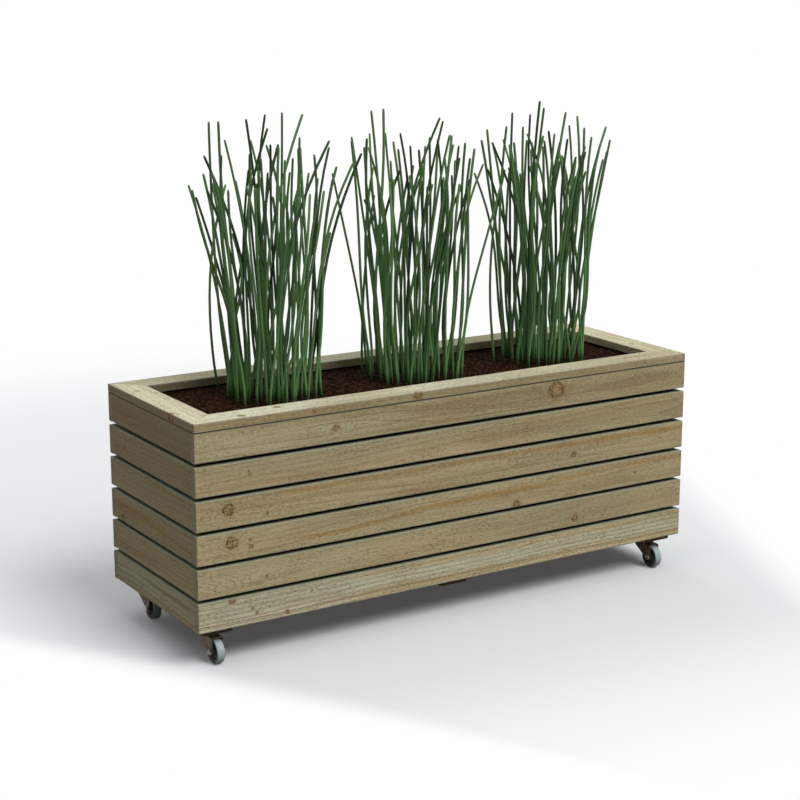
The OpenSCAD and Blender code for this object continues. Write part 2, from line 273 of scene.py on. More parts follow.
def knot_colours(colour, masks, fuzz, broken):
    """Lays a knot's halo, heart, core, marks and dots over the wood, in that order."""
    heart, core, marks, halo, dots = masks
    colour = (halo * (0.2 + fuzz.rise(0.45, 0.6) * 0.45)).tint(colour, WARM_STREAK)
    colour = (heart * (0.3 + broken * 0.48)).tint(colour, KNOT_AMBER)
    colour = core.tint(colour, KNOT_CORE)
    colour = (marks * 0.76).tint(colour, KNOT_RING)
    return (dots * 0.8).tint(colour, KNOT_SPECK)


print("knot helpers ready")


# %% Growth and saw marks
def grain_noises(place, u, v, w, seed):
    """Noises that are stretched along the board: fibres, saw fuzz, pits, stains and a cast."""
    fibres = place.vector(u * 12.0 + seed, v * 380.0, w * 380.0).noise(detail=3.0, roughness=0.6)
    fuzz = place.vector(u * 120.0, v * 260.0 + seed, w * 260.0).noise(detail=3.0, roughness=0.7)
    pores = place.vector(u * 130.0 - seed, v * 300.0, w * 300.0).noise(detail=3.0, roughness=0.7)
    stain = place.vector(u * 2.6 + seed * 2.1, v * 42.0, w * 42.0).noise(detail=3.0)
    cast = place.vector(u * 2.2 - seed, v * 12.0 + seed, w * 12.0).noise()
    return fibres, fuzz, pores.rise(0.6, 0.67), stain, cast


def late_wood(distance, spacing):
    """The dark part of each ring: it darkens slowly, as turn ** 2.2, and ends sharply."""
    turn = (distance / spacing).math("FRACT")
    return turn ** 2.2 * (1.0 - turn.rise(0.9, 1.0))


# %% Washes and streaks
def washed(colour, washes, u, outer):
    """Lays broad soft patches, each on a rim board's outer edge or clear of that mask."""
    for middle_u, half_length, strength, on_edge, wash_colour in washes:
        patch = (1.0 - abs(u - middle_u).rise(half_length * 0.3, half_length)) * strength
        if outer is not None:
            patch = patch * (outer if on_edge else 1.0 - outer)
        colour = patch.tint(colour, wash_colour)
    return colour


def streaked(colour, streaks, u, v, slow, stain):
    """Lays streaks that run from one v to another, waver, and fade out beyond both ends."""
    for (from_u, from_v), (to_u, to_v), half_width, strength, streak_colour in streaks:
        line = from_v + (to_v - from_v) * u.rise(from_u, to_u) + (slow - 0.5) * 0.012
        body = 1.0 - abs(v - line).rise(half_width * 0.3, half_width * 1.2)
        ends = u.rise(from_u - 0.12, from_u) * (1.0 - u.rise(to_u + 0.22, to_u + 0.34))
        colour = (body * ends * (0.5 + stain * 0.6) * strength).tint(colour, streak_colour)
    return colour


print("marks on the wood ready")


# %% Edges and ends
# The planer and the weather leave a slat's edge faces, arrises and end grain greyer, and the
# edge faces and arrises are also darkened, as painted shade in the gaps between slats. A rim
# board has glue lines instead, where its mitres meet the next boards
RIM_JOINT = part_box("front_rim_board")[0].z


def near_edge(distance, half_size, start, full):
    """0 until start metres from the edge, and 1 from full metres."""
    return abs(distance).rise(half_size - start, half_size - full)


def slat_edges(colour, late, arris, u, v, half_u, half_v):
    """Greys the edge faces and arrises of a slat, darkened partly as painted shade, and shows the rings on
    its ends.
    """
    side = near_edge(v, half_v, 0.0024, 0.0006)
    end = near_edge(u, half_u, 0.0018, 0.0006)
    # edge faces and arrises: grey from weathering, and darker as painted shade in the gaps
    colour = (side * 0.85).math("MAXIMUM", arris * 0.5).tint(colour, SHADED_EDGE_GREY)
    colour = (end * 0.6).tint(colour, END_GRAIN)
    return (end * late * 0.6).tint(colour, DARK_FIBRE)


def mitred_edges(colour, mitre, arris, u, v, half_u, half_v):
    """Draws the glue lines of 45 degree mitres, at |u| = half_u - half_v + v * mitre."""
    line = abs(half_u - half_v - abs(u) + v * mitre)
    colour = ((1.0 - line.rise(0.0004, 0.0012)) * 0.55).tint(colour, DARK_FIBRE)
    return (arris * 0.3).tint(colour, WEATHERED)


print("rim joint at", round(RIM_JOINT, 4))

# %% [markdown]
# With its parts ready, the timber reads as a list: find the log, bend its rings round the
# knots, then lay the colours over each other from the broadest to the finest.

# %% The timber material
RING_SPACING = 0.0065


def timber(node, base, seed, pith=(0.01, 0.06), drift=0.02, knots=(), rings=0.35, warm=0.5,
           mitre=0, spacing=RING_SPACING, streaks=(), washes=(), seam=False, edges=None):
    """A board's own material.

    base is its pale wood and seed moves every noise. pith is how far the log's middle lies
    across and behind the board, and drift how fast it wanders. A knot is its place along, its
    place across, its radius, and how thickly dark specks lie on it, from 0 to 1. rings and
    warm are how strongly late wood and brown stains show. mitre is 1 or -1 for a rim board
    whose outer edge lies at its high or low side. seam paints a thin shadow line along the
    joint under the rim, as painted shade in the groove there, and edges are the colours of a
    rim board's narrow faces, outer then inner.

    A streak is its start and its end, each as (u, v), its half width, strength and colour. A
    wash is its middle along, half length, strength, whether it lies on a rim board's outer
    edge, and its colour.
    """
    middle, half, axes = board_axes(node)
    material, place = new_material(f"timber_{node}")
    spot = place.parts()
    u, v, w = (spot[axis] - float(middle[axis]) for axis in axes)
    half_u, half_v, half_w = (float(half[axis]) for axis in axes)

    # The log: distance from the drifting pith, bent by slow noise and by each knot
    slow = place.vector(u * 1.7 + seed, v * 8.0, w * 8.0).noise()
    sideways = v - pith[0] - u * drift
    behind = w - pith[1]
    distance = (sideways * sideways + behind * behind) ** 0.5 + (slow - 0.5) * 0.024
    noises = knot_noises(place, u, v, w, seed)
    _, broken, _ = noises
    knot_layers = []
    for knot in knots:
        push, masks = knot_masks(u, v, knot, noises)
        distance = distance + push
        knot_layers.append(masks)
    late = late_wood(distance, spacing)
    fibres, fuzz, pits, stain, cast = grain_noises(place, u, v, w, seed)
    patches = place.vector(u * 9.0, v * 26.0 - seed, w * 26.0).noise().rise(0.36, 0.64)
    patchy = 0.45 + patches * 0.55

    # Its colours
    outer = None
    if edges:
        outer, inner = ((v * way).rise(half_v - 0.0016, half_v - 0.0006) for way in (mitre, -mitre))
        base = (inner * 0.9).tint((outer * 0.9).tint(base, edges[0]), edges[1])
    colour = washed(base, washes, u, outer)
    colour = (cast.rise(0.42, 0.66) * 0.28).tint(colour, OLIVE_CAST)
    colour = streaked(colour, streaks, u, v, slow, stain)
    colour = (stain.rise(0.52, 0.72) * warm).tint(colour, WARM_STREAK)
    colour = (late * rings).tint(colour, DARK_FIBRE)
    colour = (fibres.rise(0.48, 0.7) * 0.4).tint(colour, DARK_FIBRE)
    colour = (fuzz.rise(0.46, 0.66) * patchy * 0.58).tint(colour, DARK_FIBRE)
    colour = ((1.0 - fuzz.rise(0.28, 0.48)) * 0.34).tint(colour, PALE_FIBRE)
    colour = (pits * patchy * 0.75).tint(colour, PORE)
    height = fibres * 0.5 + fuzz * 0.7 - late * 0.35 - pits * 0.5
    for masks in knot_layers:
        colour = knot_colours(colour, masks, fuzz, broken)
        _, _, marks, _, dots = masks
        height = height - marks * 0.4 - dots * 0.6

    # Its edges and ends, and a painted shadow line in the joint under the rim
    arris = near_edge(w, half_w, 0.004, 0.001) * near_edge(v, half_v, 0.004, 0.001)
    if mitre:
        colour = mitred_edges(colour, mitre, arris, u, v, half_u, half_v)
    else:
        colour = slat_edges(colour, late, arris, u, v, half_u, half_v)
    # paints shade into the groove where the rim meets the top slat
    if seam:
        joint = 1.0 - abs(spot[2] - RIM_JOINT).rise(0.0007, 0.0024)
        colour = (joint * 0.9).tint(colour, SEAM_SHADOW)
    finish_surface(place, colour, 0.7 + fuzz * 0.2, height, depth=0.0005, Specular_IOR_Level=0.3)
    dress(material, node)


def toned(tone, colour):
    """A colour made lighter or darker by one factor."""
    return tuple(tone * channel for channel in colour)


print("ring spacing", RING_SPACING * 1000, "mm")

# %% [markdown]
# ## Dressing the boards
#
# Each board came from another part of a log, so each has its own seed, pith and tone. The
# knots and streaks of the front are placed one by one, because the eye goes to them first,
# and so are the few that show on the left. The other slats get their knots from a seeded
# generator, with about half as many a metre.

# %% The front slats
STRAW = (0.63, 0.51, 0.29)
RESIN = (0.46, 0.26, 0.05)
TAN_WASH = (0.33, 0.24, 0.11)
PALE_GRAIN = (0.82, 0.88, 0.66)
BLEACHED = (0.95, 0.98, 0.8)
COARSE_RINGS = 0.0095
TOP_LEVEL = 6
FRONT_SLATS = [
    # tone, pith across and behind, drift, strength of the rings and of the warm stains, knots
    (1.235, (0.12, 0.03), 0.01, 0.62, 0.3,
     [(-0.528, 0.026, 0.006, 0.6), (-0.483, 0.0015, 0.0022, 1), (-0.474, -0.0091, 0.003, 0.7),
      (-0.446, 0.0002, 0.0016, 1), (-0.407, -0.02, 0.004, 0.5), (-0.35, 0.014, 0.002, 1)]),
    (1.0, (0.015, 0.07), 0.015, 0.28, 0.35,
     [(0.304, -0.0103, 0.007, 0.9), (-0.45, -0.005, 0.003, 0.8)]),
    (1.02, (-0.02, 0.06), 0.02, 0.32, 0.35,
     [(-0.525, 0.0074, 0.0105, 1), (-0.485, 0.0063, 0.0026, 1), (-0.484, -0.007, 0.004, 0.3),
      (0.147, -0.0235, 0.007, 0.9), (0.467, -0.001, 0.0025, 1)]),
    (1.015, (0.025, 0.055), -0.02, 0.37, 0.6,
     [(-0.531, 0.0072, 0.0105, 0.9), (0.297, -0.0043, 0.006, 0.7), (-0.449, -0.0143, 0.003, 1)]),
    (1.03, (-0.03, 0.05), 0.03, 0.42, 0.35,
     [(-0.486, 0.009, 0.002, 0.6), (-0.484, 0.002, 0.003, 0.2)]),
    (0.97, (0.01, 0.045), -0.01, 0.46, 0.4,
     [(0.247, 0.0087, 0.0165, 0.55), (-0.292, -0.001, 0.006, 0.3), (-0.365, -0.029, 0.003, 0.9),
      (-0.495, -0.029, 0.003, 0.9)]),
]
STREAKS = {
    1: [((-0.6, 0.006), (0.6, 0.002), 0.02, 0.8, PALE_GRAIN),
        ((-0.6, -0.026), (0.6, -0.026), 0.004, 0.2, PALE_GRAIN),
        ((-0.6, -0.0175), (0.6, -0.0165), 0.0011, 0.8, PORE)],
    2: [((-0.6, 0.0), (-0.5, 0.0), 0.025, 0.12, PALE_GRAIN),
        ((0.2, 0.0), (0.6, 0.0), 0.025, 0.2, TAN_WASH)],
    3: [((-0.32, -0.0105), (-0.03, 0.0065), 0.0058, 0.75, RESIN),
        ((0.05, 0.0075), (0.55, 0.0215), 0.0075, 0.5, RESIN)],
    4: [((-0.38, 0.0205), (0.05, 0.0215), 0.006, 0.6, RESIN),
        ((-0.25, 0.0015), (-0.03, -0.0105), 0.003, 0.4, RESIN),
        ((0.4, 0.0215), (0.58, 0.016), 0.007, 0.75, RESIN)],
    5: [((0.1, 0.0), (0.6, 0.0), 0.025, 0.42, TAN_WASH)],
    6: [((-0.6, -0.004), (-0.45, -0.004), 0.026, 0.26, PALE_GRAIN),
        ((0.0, 0.004), (0.6, 0.0), 0.024, 0.42, TAN_WASH),
        ((-0.25, 0.018), (0.0, 0.01), 0.011, 0.35, TAN_WASH),
        ((-0.28, 0.01), (-0.02, -0.02), 0.0016, 0.65, DARK_FIBRE),
        ((-0.22, 0.017), (0.08, -0.004), 0.0014, 0.6, DARK_FIBRE)],
}
for level, (tone, pith, drift, rings, warm, knots) in enumerate(FRONT_SLATS, start=1):
    lowest = level == 1
    timber(f"front_slat_{level}", toned(tone, STRAW), 3.1 * level, pith, drift, knots, rings, warm,
           spacing=COARSE_RINGS if lowest else RING_SPACING, streaks=STREAKS[level],
           washes=[(-0.5, 0.4, 0.45, False, BLEACHED)] if lowest else (), seam=level == TOP_LEVEL)
print("front slats:", len(FRONT_SLATS))

# %% The other slats
# Tones, streaks and knots of the left slats, by level
SHADE = {("left", 4): 0.9, ("left", 5): 0.76, ("left", 6): 0.67}
SIDE_STREAKS = {
    ("left", 1): [((-0.2, 0.004), (0.2, 0.001), 0.024, 0.7, PALE_GRAIN)],
    ("left", 3): [((-0.17, -0.008), (0.08, 0.004), 0.0068, 0.65, RESIN)],
    ("left", 4): [((-0.17, 0.0205), (0.15, 0.0245), 0.0035, 0.65, RESIN),
                  ((-0.17, -0.003), (-0.02, -0.009), 0.0016, 0.5, RESIN)],
    ("left", 6): [((0.0, 0.004), (0.18, 0.0), 0.022, 0.35, TAN_WASH)],
}
PLACED_KNOTS = {
    ("left", 3): [(0.145, -0.0235, 0.009, 1)],
    ("left", 4): [],
    ("left", 5): [(0.124, -0.002, 0.004, 0.5)],
}
END_LENGTH = 0.368
chooser = np.random.default_rng(11)
for side, length in (("back", 1.2), ("left", END_LENGTH), ("right", END_LENGTH)):
    for level in range(1, TOP_LEVEL + 1):
        slat = side, level
        tone = chooser.uniform(0.94, 1.06) * SHADE.get(slat, 1.0)
        pith = (chooser.uniform(-0.04, 0.04), chooser.choice([-1, 1]) * chooser.uniform(0.04, 0.08))
        count = int(chooser.integers(1, 4)) if side == "back" else int(chooser.integers(0, 2))
        chosen = [(chooser.uniform(-0.45, 0.45) * length, chooser.uniform(-0.02, 0.02),
                   chooser.uniform(0.003, 0.011), 0.7) for _ in range(count)]
        coarse = 1.5 if side == "left" else 1.0
        timber(f"{side}_slat_{level}", toned(tone, STRAW), chooser.uniform(5, 90), pith,
               chooser.uniform(-0.03, 0.03), PLACED_KNOTS.get(slat, chosen),
               rings=coarse * chooser.uniform(0.28, 0.45),
               warm=chooser.uniform(0.3, 0.8), streaks=SIDE_STREAKS.get(slat, ()), seam=level == TOP_LEVEL)
print("other slats:", 3 * TOP_LEVEL)

# %% [markdown]
# ## The rim
#
# The four rim boards lie flat and meet in mitres. They are planed finer than the slats, and
# their tops are painted paler, as painted light: the sky's sheen on a top face. They are
# bleached in patches, while their outer edges are as brown as the slats. The back board is
# darker, with a dark inner edge, as painted shade from the rushes, and the right board's
# inner edge is painted lighter, as painted light. The grain of each runs up to its mitre,
# which one texture across the whole rim would lose.

# %% The rim boards
# paler than the slats' straw: painted light, the sky's sheen on the rim tops
SHEEN_LIT_STRAW = (0.67, 0.655, 0.465)
RIM_EDGE = (0.5, 0.385, 0.2)
DULL_EDGE = (0.4, 0.305, 0.155)
LIT_EDGE = (0.96, 0.82, 0.53)
# dark inner edge of the back board: painted shade from the rushes
SHADED_INNER_EDGE = (0.155, 0.118, 0.065)
RIM_BOARDS = [
    # side, tone, which way its outer edge lies, colours of its outer and inner edge, knots
    ("front", 1.04, -1, (RIM_EDGE, STRAW),
     [(-0.401, 0.0105, 0.0055, 0.8), (-0.493, -0.0145, 0.006, 0.9), (-0.341, -0.03, 0.0025, 0.6),
      (-0.101, -0.036, 0.01, 0.6)]),
    # the back board's low tone and dark inner edge are painted shade from the rushes
    ("back", 0.77, 1, (RIM_EDGE, SHADED_INNER_EDGE), [(0.21, 0.006, 0.006, 0.3), (-0.35, -0.01, 0.004, 0.3)]),
    ("left", 1.105, -1, (DULL_EDGE, STRAW), [(-0.1, -0.037, 0.0115, 0.8), (0.107, -0.006, 0.004, 0.3)]),
    # the right board's pale inner edge is painted light
    ("right", 1.12, 1, (RIM_EDGE, LIT_EDGE), [(-0.06, -0.008, 0.005, 0.3)]),
]
RIM_WASHES = {
    "front": [(-0.48, 0.24, 0.36, False, BLEACHED), (-0.2, 0.14, 0.14, False, TAN_WASH),
              (0.0, 0.14, 0.4, False, BLEACHED), (0.17, 0.1, 0.14, False, TAN_WASH),
              (0.54, 0.26, 0.3, False, TAN_WASH), (0.55, 0.2, 0.36, True, PALE_FIBRE)],
    "right": [(-0.14, 0.09, 0.2, False, TAN_WASH)],
}
for number, (side, tone, mitre, edges, knots) in enumerate(RIM_BOARDS):
    timber(f"{side}_rim_board", toned(tone, SHEEN_LIT_STRAW), 40.0 + 7.3 * number, (0.02, -0.07), 0.02, knots,
           rings=0.3, warm=0.42, mitre=mitre, washes=RIM_WASHES.get(side, ()), seam=True, edges=edges)
print("rim boards:", len(RIM_BOARDS))

# %% [markdown]
# ## The hidden timber
#
# The floor boards are plain stock. The posts and bearers are dipped in a dark brown stain,
# so that they stay out of sight below the lowest slat and in the gaps. A stain hides the
# rings, so a stretched noise is enough.

# %% Floor boards, posts and bearers
STOCK = (0.5, 0.4, 0.24)
timber("floor_boards", STOCK, 60.0, (0.05, 0.04), 0.02, rings=0.35, warm=0.5)


def stained_timber(node, tone, seed):
    """A stained board: streaks of a darker and a lighter brown along its length."""
    _, _, (along, across, through) = board_axes(node)
    material, place = new_material(f"stained_{node}")
    spot = place.parts()
    u, v, w = spot[along], spot[across], spot[through]
    grain = place.vector(u * 9.0 + seed, v * 260.0, w * 260.0).noise(detail=3.0, roughness=0.6)
    blots = place.noise(scale=22.0, detail=3.0)
    colour = grain.rise(0.35, 0.7).tint(tone, toned(0.45, tone))
    colour = (blots.rise(0.45, 0.75) * 0.5).tint(colour, toned(1.5, tone))
    finish_surface(place, colour, 0.65 + grain * 0.2, grain, depth=0.0005, Specular_IOR_Level=0.2)
    dress(material, node)


POST_STAIN = (0.03, 0.022, 0.015)
BEARER_STAIN = (0.17, 0.125, 0.062)
CORNERS = ["front_left", "front_right", "back_left", "back_right"]
POSTS = [f"{corner}_post" for corner in CORNERS] + ["middle_posts"]
BEARERS = ["left_bearer", "middle_bearer", "right_bearer"]
for number, node in enumerate(POSTS):
    stained_timber(node, POST_STAIN, 5.0 * number)
for number, node in enumerate(BEARERS):
    stained_timber(node, BEARER_STAIN, 4.0 * number)
print("hidden boards:", 1 + len(POSTS) + len(BEARERS))

# %% [markdown]
# ## Casters
#
# Each caster is a stamped steel plate and fork, a bright axle bolt, and a grey wheel with a
# dark moulded hub. The plates and forks are painted brown, as a painted reflection of the
# wood above them. The brown is uneven, so a coarse noise mixes two browns, and a fine one
# adds bare flecks.

# %% Steel with a painted reflection, for the plates and forks
REFLECTED_WOOD_BROWN = (0.185, 0.145, 0.1)
DARK_REFLECTED_BROWN = (0.095, 0.066, 0.042)
BARE_FLECK = (0.24, 0.21, 0.17)
PLATES_AND_FORKS = [f"{corner}_caster_{piece}" for corner in CORNERS for piece in ("plate", "fork")]

material, place = new_material("steel_with_painted_reflection")
mottle = place.noise(scale=60.0, detail=4.0, roughness=0.6)
flecks = place.noise(scale=420.0, detail=2.0)
# a painted reflection: the brown of the wood above, laid into the steel's colour
colour = mottle.rise(0.35, 0.68).tint(REFLECTED_WOOD_BROWN, DARK_REFLECTED_BROWN)
colour = (flecks.rise(0.62, 0.78) * 0.5).tint(colour, BARE_FLECK)
rough = 0.38 + mottle * 0.22
finish_surface(place, colour, rough, mottle * 0.6 + flecks * 0.4, depth=0.00015, Metallic=0.5)
dress(material, *PLATES_AND_FORKS)
print("steel pieces:", len(PLATES_AND_FORKS))

# %% [markdown]
# The axle bolts and the screws are zinc-plated. On the axles, close to the ground, the
# plating has gone in clouds, and on the screws it is only dull: one finish in two colourings.

# %% Plated steel for the axles and screws
AXLES = [f"{corner}_caster_axle" for corner in CORNERS]
SCREWS = ["slat_screws", "caster_screws"]


def plated_steel(name, fresh, dull, members):
    """Zinc-plated steel: fine turning marks, and dull clouds where the plating has gone."""
    material, place = new_material(name)
    cloud = place.noise(scale=220.0, detail=3.0)
    marks = place.noise(scale=1400.0, detail=1.0)
    colour = cloud.rise(0.4, 0.6).tint(fresh, dull)
    finish_surface(place, colour, 0.22 + cloud * 0.15, marks, depth=0.00004, Metallic=1.0)
    dress(material, *members)


plated_steel("worn_plating", (0.62, 0.63, 0.62), (0.17, 0.13, 0.095), AXLES)
plated_steel("bright_plating", (0.66, 0.68, 0.7), (0.5, 0.51, 0.52), SCREWS)
print("plated pieces:", len(AXLES + SCREWS))

# %% [markdown]
# A wheel is one solid, so its three colours come from the distance to its axle: a pale worn
# tread, the flank of the tyre painted dark as the shade on it, and a brown moulded hub.
# Rolling leaves fine lines round the tread, which are a noise squeezed along the axle.

# %% The wheels, in three colours by radius
TREAD_GREY = (0.5, 0.61, 0.625)
SHADED_TYRE_SIDE = (0.065, 0.085, 0.088)
HUB_BROWN = (0.06, 0.05, 0.04)


def wheel_finish(corner):
    """Pale tread past 23.6 mm from the axle, tyre painted dark as shade to 20 mm, brown moulding inside
    that.
    """
    low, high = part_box(f"{corner}_caster_wheel")
    middle = (low + high) / 2
    material, place = new_material(f"wheel_{corner}")
    across, along, up = (part - centre for part, centre in zip(place.parts(), middle))
    radius = (along * along + up * up) ** 0.5
    tread = radius.rise(0.0231, 0.024)
    tyre = radius.rise(0.0198, 0.0202)
    scuff = place.noise(scale=260.0, detail=4.0, roughness=0.65)
    lines = place.vector(across * 620.0, radius * 30.0, 0.0).noise(detail=2.0).rise(0.42, 0.62)
    rubber = scuff.rise(0.4, 0.7).tint(TREAD_GREY, (0.42, 0.52, 0.54))
    rubber = (lines * 0.38).tint(rubber, (0.29, 0.375, 0.39))
    # the tyre's flank is painted dark, as painted shade on a side turned from the light
    shaded_flank = scuff.rise(0.5, 0.74).tint(SHADED_TYRE_SIDE, (0.15, 0.185, 0.19))
    moulded = scuff.rise(0.48, 0.72).tint(HUB_BROWN, (0.14, 0.105, 0.075))
    colour = tread.tint(tyre.tint(moulded, shaded_flank), rubber)
    rough = 0.62 - tread * 0.08 + scuff * 0.1
    finish_surface(place, colour, rough, scuff * 0.7 + lines * tread * 0.3, depth=0.00012)
    dress(material, f"{corner}_caster_wheel")


for corner in CORNERS:
    wheel_finish(corner)
print("wheels:", len(CORNERS))

# %% [markdown]
# ## The liner
#
# A black sheet keeps the compost off the wood. Only slivers of it show, through the gaps
# between the slats and past the rim, so a faint sheen and creases from stretched noise do.

# %% The liner's finish
material, place = new_material("liner_film")
x, y, z = place.parts()
creases = place.vector(x * 30.0, y * 30.0, z * 11.0).noise(detail=3.0)
colour = creases.rise(0.3, 0.7).tint((0.004, 0.004, 0.004), (0.01, 0.01, 0.01))
finish_surface(place, colour, 0.6 + creases * 0.2, creases, depth=0.001, Specular_IOR_Level=0.15)
dress(material, "liner")
print("liner dressed")

# %% [markdown]
# ## Meshes from arrays
#
# The compost and the stems are surfaces of two parameters, worked out as whole numpy arrays
# and handed to Blender at once. One helper turns points and faces into an object.


# %% A mesh from points and faces
def new_piece(name, points, faces, smooth=True):
    """An object at the origin whose mesh has these points, and quads or triangles in lists."""
    mesh = bpy.data.meshes.new(name)
    corners = [list(face) for part in faces for face in part.tolist()]
    mesh.from_pydata(np.asarray(points, float).tolist(), [], corners)
    mesh.update()
    mesh.polygons.foreach_set("use_smooth", [smooth] * len(mesh.polygons))
    piece = bpy.data.objects.new(name, mesh)
    bpy.context.scene.collection.objects.link(piece)
    return piece


def waves(x, y, shortest, longest, count, seed):
    """A bumpy height, nearly all of it from -1 to 1: the sum of many cosine waves.

    Each has a random direction and phase, a length between the two given, and a height that
    goes with that length to the power 0.6.
    """
    source = np.random.default_rng(seed)
    total = np.zeros_like(x)
    weight = 0.0
    for length in np.geomspace(longest, shortest, count):
        turn = source.uniform(0, 2 * np.pi)
        phase = source.uniform(0, 2 * np.pi)
        size = (length / longest) ** 0.6
        total += size * np.cos(2 * np.pi * (x * np.cos(turn) + y * np.sin(turn)) / length + phase)
        weight += size * size
    return total / np.sqrt(weight * 4)


# %% [markdown]
# ## Compost
#
# Potting compost is a dark, crumbly mix of bark and fibre, heaped a little round each clump.
# A height over a fine grid gives the lumps, and small loose crumbs on it catch the light, as
# a bump map alone would look flat from low down. The posts stand in the compost under the
# rim, so the grid leaves out the cells where they are.

# %% The compost's surface
CLUMP_MIDDLES = [(-0.324, 0.0), (0.017, 0.0), (0.358, 0.0)]
CLUMP_RADIUS = 0.098
LINER_WALL = 0.0015
MIDDLE_POST_HALF = 0.019
SOIL_GRID = (460, 140)
soil_low, soil_high = (np.array(corner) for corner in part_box("soil"))
SOIL_LEVEL = soil_high[2]
post_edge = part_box("front_left_post")[1]
print("compost level", round(SOIL_LEVEL, 4))


def soil_height(x, y):
    """Height of the compost: its level less 2 mm, plus lumps, grains, heaps and a slope.

    The lumps are waves 10 to 90 mm long, and the grains 4.5 to 9 mm. A heap adds 2 mm within
    each clump, and fades out over the next 25 mm. Towards the walls the compost rises by
    3.5 mm, as it does where it is pressed in under the rim.
    """
    heap = np.zeros_like(x)
    for clump_x, clump_y in CLUMP_MIDDLES:
        beyond = np.hypot(x - clump_x, y - clump_y) - CLUMP_RADIUS
        heap = np.maximum(heap, np.clip(1 - beyond / 0.025, 0, 1))
    to_wall = np.minimum(soil_high[0] - abs(x), soil_high[1] - abs(y))
    slope = np.clip((0.075 - to_wall) / 0.045, 0, 1)
    lumps = waves(x, y, 0.01, 0.09, 40, 5)
    grains = waves(x, y, 0.0045, 0.009, 60, 6)
    return SOIL_LEVEL - 0.002 + 0.0016 * lumps + 0.001 * grains + 0.002 * heap + 0.0035 * slope


def compost():
    """Closed slab: the bumpy top, its copy flat at the bottom, and walls round its edge."""
    xs, ys = (np.linspace(soil_low[k], soil_high[k], SOIL_GRID[k]) for k in (0, 1))
    x, y = np.meshgrid(xs, ys, indexing="ij")
    top = np.stack([x, y, soil_height(x, y)], axis=-1).reshape(-1, 3)
    bottom = top * (1, 1, 0) + (0, 0, soil_low[2])
    number = np.arange(x.size).reshape(x.shape)
    cell_x = (x[1:, 1:] + x[:-1, :-1]) / 2
    cell_y = (y[1:, 1:] + y[:-1, :-1]) / 2
    beside_post = (abs(cell_x) > -post_edge.x - LINER_WALL) | (abs(cell_x) < MIDDLE_POST_HALF)
    kept = ~(beside_post & (abs(cell_y) > -post_edge.y - LINER_WALL))
    quads = [number[:-1, :-1], number[1:, :-1], number[1:, 1:], number[:-1, 1:]]
    quads = np.stack(quads, axis=-1)[kept]
    edges = np.stack([quads, np.roll(quads, -1, axis=1)], axis=-1).reshape(-1, 2)
    codes = edges[:, 0] * x.size + edges[:, 1]
    outer = edges[~np.isin(codes, edges[:, 1] * x.size + edges[:, 0])]
    walls = np.stack([outer[:, 1], outer[:, 0], outer[:, 0] + x.size, outer[:, 1] + x.size], axis=-1)
    used, packed = np.unique(np.concatenate([quads, quads + x.size, walls]), return_inverse=True)
    packed = packed.reshape(-1, 4)
    floor = packed[len(quads):2 * len(quads), ::-1]
    faces = np.concatenate([packed[:len(quads)], floor, packed[2 * len(quads):]])
    return new_piece("compost", np.concatenate([top, bottom])[used], [faces])


soil_piece = compost()
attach(soil_piece, "planter")
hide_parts("soil")
print("compost faces:", len(soil_piece.data.polygons))

# %% [markdown]
# Loose crumbs lie all over the compost. A crumb of bark has flat broken faces, so a stretched
# and turned octahedron does for it, and all nine thousand are one mesh.

# %% Loose crumbs on the compost
CRUMBS = 9000
CRUMB_REACH = (0.565, 0.143)
TIPS = np.array([[1, 0, 0], [0, 1, 0], [-1, 0, 0], [0, -1, 0], [0, 0, 1], [0, 0, -1]], float)
SIDES_ABOVE = [[0, 1, 4], [1, 2, 4], [2, 3, 4], [3, 0, 4]]
SIDES_BELOW = [[1, 0, 5], [2, 1, 5], [3, 2, 5], [0, 3, 5]]


def crumbs(count, seed):
    """Flattened octahedra, each corner moved at random, turned, and sunk into the surface."""
    source = np.random.default_rng(seed)
    x, y = (source.uniform(-reach, reach, count) for reach in CRUMB_REACH)
    size = 0.0016 + 0.0026 * source.random(count) ** 2.5
    ragged = TIPS * source.uniform(0.6, 1.3, (count, 6, 1))
    shape = ragged * source.uniform((0.7, 0.5, 0.4), (1.6, 1.0, 0.8), (count, 1, 3))
    turn = source.uniform(0, 2 * np.pi, count)[:, None]
    turned = np.stack([
        shape[..., 0] * np.cos(turn) - shape[..., 1] * np.sin(turn),
        shape[..., 0] * np.sin(turn) + shape[..., 1] * np.cos(turn),
        shape[..., 2] + 0.4 * shape[..., 0] * source.uniform(-1, 1, count)[:, None],
    ], axis=-1)
    middle = np.stack([x, y, soil_height(x, y) + size * 0.15], axis=-1)
    points = middle[:, None] + turned * size[:, None, None]
    sides = np.array(SIDES_ABOVE + SIDES_BELOW)
    faces = (sides + 6 * np.arange(count)[:, None, None]).reshape(-1, 3)
    return new_piece("compost_crumbs", points.reshape(-1, 3), [faces], smooth=False)


crumb_piece = crumbs(CRUMBS, 8)
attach(crumb_piece, "planter")
print("crumb faces:", len(crumb_piece.data.polygons))

# %% [markdown]
# Compost is dark, and its colours are kept near black as painted shade between its lumps,
# with red-brown chips of bark in it. A cell pattern gives each chip one colour all over, as a
# piece of bark has, where a noise would blur them.

# %% The compost's finish
material, place = new_material("compost")
cells = place.node("ShaderNodeTexVoronoi", sockets={"Vector": place, "Scale": 260.0}, out=1)
chips = cells.parts()[0]
clods = place.noise(scale=70.0, detail=4.0, roughness=0.65)
grit = place.noise(scale=900.0, detail=2.0)
